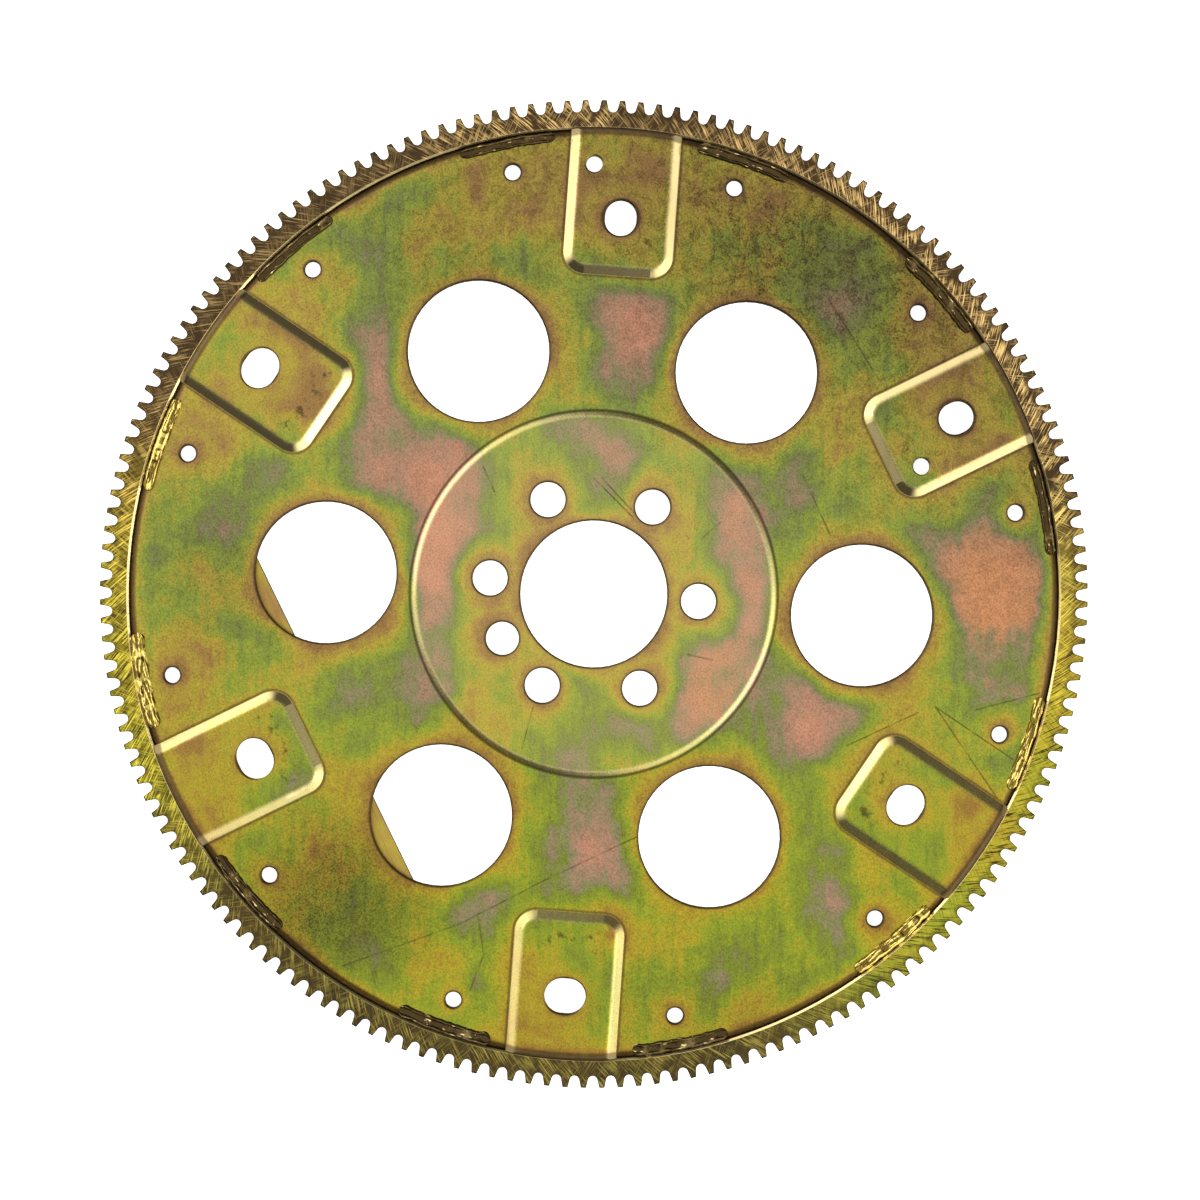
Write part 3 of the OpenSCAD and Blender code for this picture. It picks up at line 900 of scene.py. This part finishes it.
class RingBead:
    """One bead in the groove between the disc's flange and the ring gear."""

    def __init__(self, beads, index):
        chance = random.Random(beads.seed + index)
        self.beads = beads
        self.angle = math.radians(WELD_FIRST + WELD_STEP * index)
        self.offset = Vector((chance.uniform(0, 90), chance.uniform(0, 90), chance.uniform(0, 90)))
        self.channel = chance.uniform(0.2, 0.6)
        self.half = beads.half_width / MM * chance.uniform(0.72, 1)
        self.craters = [
            (side * chance.uniform(0.84, 0.95), chance.uniform(-0.3, 0.3), chance.uniform(0.4, 1.0))
            for side in (-1, 1)
        ]
        self.craters.append(
            (chance.uniform(-0.5, 0.5), chance.uniform(-0.5, 0.5), chance.uniform(0.2, 0.7))
        )

    def lumps(self, s, w, size):
        """Unevenness at a place along and across the bead, in millimetres."""
        return noise.noise(self.offset + Vector((s / size, w / size, 0)))

    def form(self, s_share, w_share):
        """The bead's surface."""
        beads = self.beads
        half = self.half
        straight, end = beads.straight / MM, beads.end / MM
        s = s_share * (straight + end)
        past = max(0, abs(s) - straight) / end
        outline = math.sqrt(max(0.03, 1 - past * past))
        spread = outline * (1 + 0.16 * self.lumps(s, 40, 2.4))
        w = w_share * half * spread + 0.3 * self.lumps(s, 80, 6)
        crown = (1 - w_share * w_share) ** 0.5
        ridges = sum(math.exp(-(((w_share - at) / RIDGE_WIDTH) ** 2)) for at in RIDGES)
        fill = max(0, min(1, 0.5 + 1.8 * self.lumps(s, 20, 4) - self.channel))
        body = 0.16 + 0.7 * fill + (0.95 - 0.6 * fill) * ridges * (1 + 0.5 * self.lumps(s, w, 2.2))
        height = beads.rise / MM * outline ** 0.7 * crown * body * (1 + 0.3 * self.lumps(s, w, 4))
        bowed = s + 0.35 * w * w / half + 0.5 * self.lumps(s, w, 3)
        ripple = math.sin(2 * math.pi * bowed * MM / beads.ripple)
        rough = 0.1 * self.lumps(s, w, 1.8) + 0.04 * self.lumps(s, w, 0.7)
        height += crown * (0.04 * ripple + rough)
        for s_at, w_at, depth in self.craters:
            along = (s_share - s_at) * (straight + end) / CRATER[0]
            across = (w_share - w_at) * half / CRATER[1]
            height -= depth * math.exp(-(along ** 2 + across ** 2))
        height = max(height, BEAD_LEAST)
        turn = self.angle + s / WELD_MID_R
        radius = WELD_MID_R + w
        lift = BEAD_LIFT * max(0, w / half)
        top = MAIN_Z + lift + height
        return Vector((radius * math.cos(turn), radius * math.sin(turn), top)) * MM

    def root(self, place):
        """The bead's foot, sunk where it fuses with the sheet."""
        return Vector((place.x, place.y, (MAIN_Z - BEAD_SINK) * MM))

    def mesh(self):
        """The whole bead as a closed mesh."""
        mesh = shaped_sheet(*BEAD_CELLS, self.form)
        wall_down(mesh, self.root)
        border = [edge for edge in mesh.edges if edge.is_boundary]
        bmesh.ops.contextual_create(mesh, geom=border)
        return mesh


def fillet_mesh(beads, start, end, wall_out, index):
    """A rippled fillet between a wall of the weight and the sheet above it."""
    offset = Vector((index * 13.7, 4.1, 8.3))
    leg = beads.leg / MM
    run = end - start

    def form(s_share, w_share):
        s = (s_share + 1) / 2
        turn = (w_share + 1) * math.pi / 4
        ends = math.sqrt(max(0.05, 1 - abs(s_share) ** 10))
        ripple = math.sin(2 * math.pi * run.length * s * MM / beads.ripple + 1.2 * math.sin(turn))
        rough = noise.noise(offset + Vector((s * run.length / 2, turn * 2, 0)))
        bulge = math.sin(2 * turn)
        reach = leg * ends * (0.93 + bulge * (0.03 * ripple + 0.05 * rough - 0.14))
        drop = Vector((0, 0, reach * math.sin(turn)))
        return (start + run * s + wall_out * (reach * math.cos(turn)) - drop) * MM

    def root(place):
        s = max(0, min(1, (place / MM - start).dot(run) / run.length_squared))
        return (start + run * s) * MM

    mesh = shaped_sheet(int(run.length / FILLET_CELL), FILLET_STEPS, form)
    wall_down(mesh, root)
    return mesh


class FLEXPLATE_OT_plate_disc(bpy.types.Operator):
    """Gives the disc its chromate film"""

    bl_idname = "flexplate.plate_disc"
    bl_label = "Plate Disc"

    def execute(self, context):
        dress(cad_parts["disc"], disc_plating(context.scene.flexplate_plating))
        return {"FINISHED"}


class FLEXPLATE_OT_plate_ring(bpy.types.Operator):
    """Gives the ring gear its film and ground face"""

    bl_idname = "flexplate.plate_ring"
    bl_label = "Plate Ring Gear"

    def execute(self, context):
        dress(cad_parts["ring_gear"], ring_plating(context.scene.flexplate_plating))
        return {"FINISHED"}


class FLEXPLATE_OT_plate_weight(bpy.types.Operator):
    """Gives the balance weight its film"""

    bl_idname = "flexplate.plate_weight"
    bl_label = "Plate Balance Weight"

    def execute(self, context):
        dress(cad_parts["balance_weight"], weight_plating(context.scene.flexplate_plating))
        return {"FINISHED"}


class FLEXPLATE_OT_lay_beads(bpy.types.Operator):
    """Lays the weld beads round the ring gear and the fillets of the balance weight"""

    bl_idname = "flexplate.lay_beads"
    bl_label = "Lay Weld Beads"

    def execute(self, context):
        beads = context.scene.flexplate_beads
        material = weld_plating(context.scene.flexplate_plating)
        for index, node in enumerate(RING_WELDS):
            bead_piece("bead_" + node[-2:], RingBead(beads, index).mesh(), material, node)
        low, high = WEIGHT_LOW / MM, WEIGHT_HIGH / MM
        for index, side in enumerate(("left", "right")):
            node = "weight_weld_" + side
            first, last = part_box(node)
            start = Vector((first.x / MM, low.y, MAIN_REAR_Z))
            end = Vector((last.x / MM, low.y, MAIN_REAR_Z))
            mesh = fillet_mesh(beads, start, end, Vector((0, -1, 0)), index)
            bead_piece("fillet_" + side, mesh, material, node)
            node += "_end"
            first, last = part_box(node)
            wall_x = high.x if first.x > 0 else low.x
            start = Vector((wall_x, first.y / MM, MAIN_REAR_Z))
            end = Vector((wall_x, last.y / MM, MAIN_REAR_Z))
            out = Vector((math.copysign(1, first.x), 0, 0))
            mesh = fillet_mesh(beads, start, end, out, index + 2)
            bead_piece("fillet_" + side + "_end", mesh, material, node)
        return {"FINISHED"}


class FLEXPLATE_OT_set_stage(bpy.types.Operator):
    """Sets the camera, the floor and the lights"""

    bl_idname = "flexplate.set_stage"
    bl_label = "Set Stage"

    def execute(self, context):
        stage = context.scene.flexplate_stage
        turn = context.scene.flexplate_plating.view_turn
        axes = Matrix.Rotation(turn, 3, "Z")
        self.make_floor(stage)
        self.make_world(context.scene, axes)
        self.make_boxes(stage, axes)
        self.make_camera(context.scene, stage, axes, turn)
        context.scene.view_settings.view_transform = "Standard"
        return {"FINISHED"}

    def make_floor(self, stage):
        """A plain pale floor under the ring gear."""
        mesh = bmesh.new()
        bmesh.ops.create_grid(mesh, x_segments=1, y_segments=1, size=stage.floor_size)
        bmesh.ops.translate(mesh, verts=mesh.verts, vec=(0, 0, RING_LOW.z))
        data = bpy.data.meshes.new("floor")
        mesh.to_mesh(data)
        mesh.free()
        floor = bpy.data.objects.new("floor", data)
        finish = Finish(bpy.data.materials.new("floor"))
        shown = finish.node("ShaderNodeLightPath", None, None, "Is Camera Ray")
        pale = finish.mix(shown, stage.bounce_colour, stage.floor_colour)
        finish.surface(pale, 0.7, 0, emission_color=pale, emission_strength=1)
        data.materials.append(finish.owner)
        bpy.context.scene.collection.objects.link(floor)

    def make_world(self, scene, axes):
        """Soft light from all round, brighter along one slanting line than across it."""
        world = bpy.data.worlds.new("studio")
        scene.world = world
        finish = Finish(world)
        way = finish.node("ShaderNodeTexCoord", None, None, "Generated")
        split = finish.node("ShaderNodeSeparateXYZ", None, {"Vector": way})
        level = finish.vector("NORMALIZE", finish.flat(split, split.output("Y")))
        bright_way = axes @ Vector((math.cos(BRIGHT_WAY), math.sin(BRIGHT_WAY), 0))
        side = finish.vector("DOT_PRODUCT", level, tuple(bright_way), out="Value")
        rim = finish.step(side.math("ABSOLUTE"), *BRIGHT_SIDE, LIGHT_DIM, LIGHT_BRIGHT)
        height = finish.step(split.output("Z"), *BRIGHT_HEIGHT)
        light = rim + (LIGHT_ABOVE - rim) * height
        shown = finish.node("ShaderNodeLightPath", None, None, "Is Camera Ray")
        light = light + (1 - light) * shown
        sockets = {"Red": light, "Green": light, "Blue": light}
        tone = finish.node("ShaderNodeCombineColor", None, sockets)
        shader = finish.node("ShaderNodeBackground", None, {"Color": tone})
        finish.node_output("ShaderNodeOutputWorld", shader)

    def make_boxes(self, stage, axes):
        """Two soft boxes, left and right of the part in the view."""
        for name, place in BOXES:
            light = bpy.data.lights.new(name, "AREA")
            light.shape = "RECTANGLE"
            light.size, light.size_y = BOX_SIZE
            light.energy = stage.box_power
            lamp = bpy.data.objects.new(name, light)
            lamp.location = axes @ Vector(place)
            lamp.rotation_euler = (-lamp.location).to_track_quat("-Z", "Y").to_euler()
            bpy.context.scene.collection.objects.link(lamp)

    def make_camera(self, scene, stage, axes, turn):
        """A camera straight above, turned as the part is seen."""
        lens = bpy.data.cameras.new("camera")
        lens.lens = lens.sensor_width * stage.camera_height / stage.view_width
        camera = bpy.data.objects.new("camera", lens)
        middle = axes @ Vector((stage.offset_right, -stage.offset_down, 0))
        camera.location = middle + Vector((0, 0, stage.camera_height))
        camera.rotation_euler = (0, 0, turn)
        scene.collection.objects.link(camera)
        scene.camera = camera


class FLEXPLATE_PT_panel(bpy.types.Panel):
    """The flexplate's pieces and settings"""

    bl_label = "Flexplate"
    bl_space_type = "VIEW_3D"
    bl_region_type = "UI"
    bl_category = "Flexplate"

    def draw(self, context):
        for group_name, group in GROUPS:
            box = self.layout.box()
            for name in group.__annotations__:
                box.prop(getattr(context.scene, group_name), name)
        for operator in OPERATORS:
            self.layout.operator(operator.bl_idname)


GROUPS = (
    ("flexplate_plating", FlexplatePlating),
    ("flexplate_beads", FlexplateBeads),
    ("flexplate_stage", FlexplateStage),
)
OPERATORS = (
    FLEXPLATE_OT_plate_disc,
    FLEXPLATE_OT_plate_ring,
    FLEXPLATE_OT_plate_weight,
    FLEXPLATE_OT_lay_beads,
    FLEXPLATE_OT_set_stage,
)


def register():
    for name, group in GROUPS:
        bpy.utils.register_class(group)
        setattr(bpy.types.Scene, name, PointerProperty(type=group))
    for operator in OPERATORS:
        bpy.utils.register_class(operator)
    bpy.utils.register_class(FLEXPLATE_PT_panel)


def unregister():
    bpy.utils.unregister_class(FLEXPLATE_PT_panel)
    for operator in reversed(OPERATORS):
        bpy.utils.unregister_class(operator)
    for name, group in reversed(GROUPS):
        delattr(bpy.types.Scene, name)
        bpy.utils.unregister_class(group)


def main():
    register()
    bpy.ops.flexplate.plate_disc()
    bpy.ops.flexplate.plate_ring()
    bpy.ops.flexplate.plate_weight()
    bpy.ops.flexplate.lay_beads()
    bpy.ops.flexplate.set_stage()


if __name__ == "__main__":
    main()
